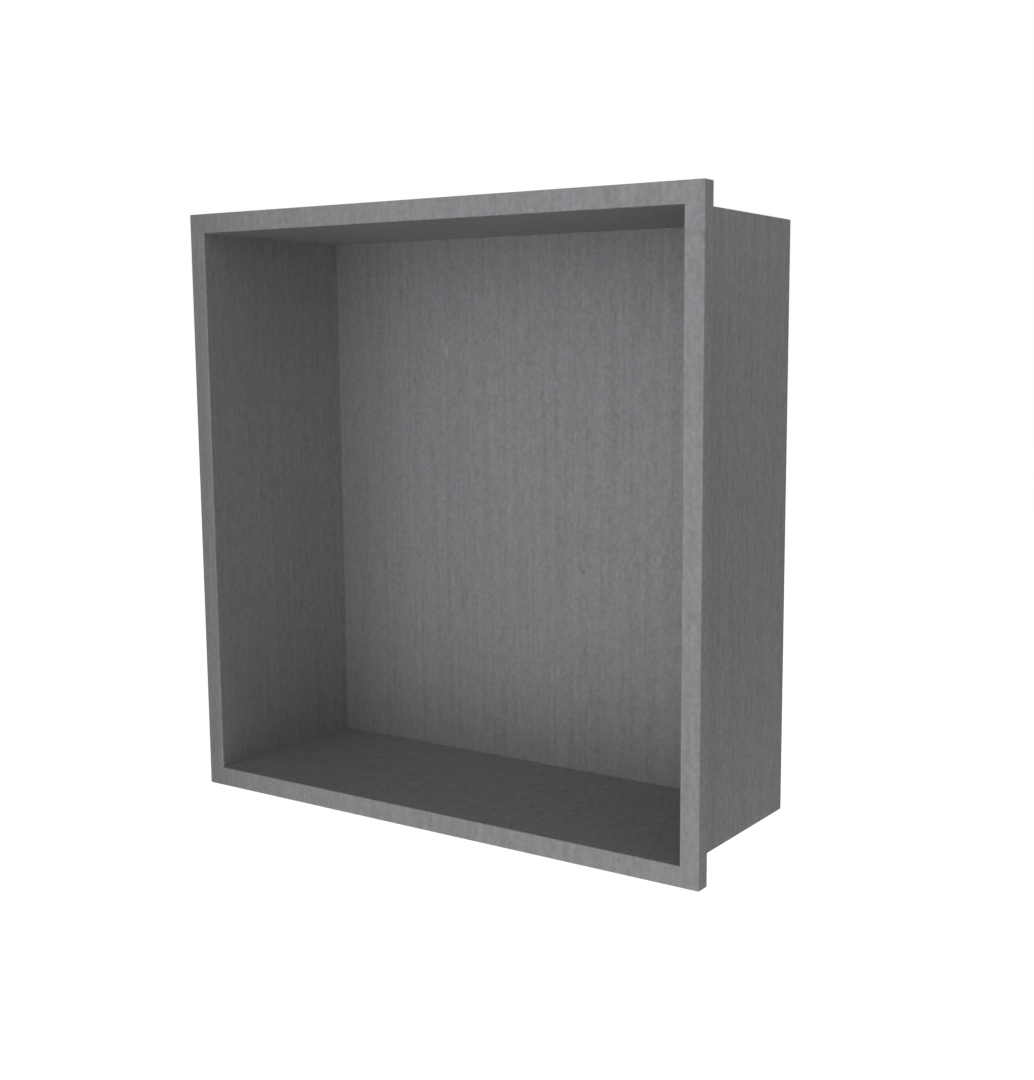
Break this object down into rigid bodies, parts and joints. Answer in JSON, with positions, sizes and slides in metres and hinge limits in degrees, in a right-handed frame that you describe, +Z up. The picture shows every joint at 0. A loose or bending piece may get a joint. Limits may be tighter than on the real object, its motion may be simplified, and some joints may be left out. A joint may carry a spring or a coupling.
{
  "type": "shower niche insert",
  "caption": "Square recessed niche for a shower wall: an open box of folded brushed steel sheet with a flat rim and a lip that covers the edge of the wall cut-out.",
  "frame": {"origin": "middle of the opening, in the plane of the wall face that the rim's folded lip rests on", "axes": "+Y into the wall, from the opening to the back panel; +Z up; +X to the right of a person who faces the opening"},
  "size_m": [0.305, 0.1006, 0.305],
  "materials": {
    "brushed_sheet": "dark grey steel, brushed in one direction across the flat sheet before it was folded"
  },
  "bodies": {
    "root": {"niche_shell": "brushed_sheet"}
  },
  "joints": []
}
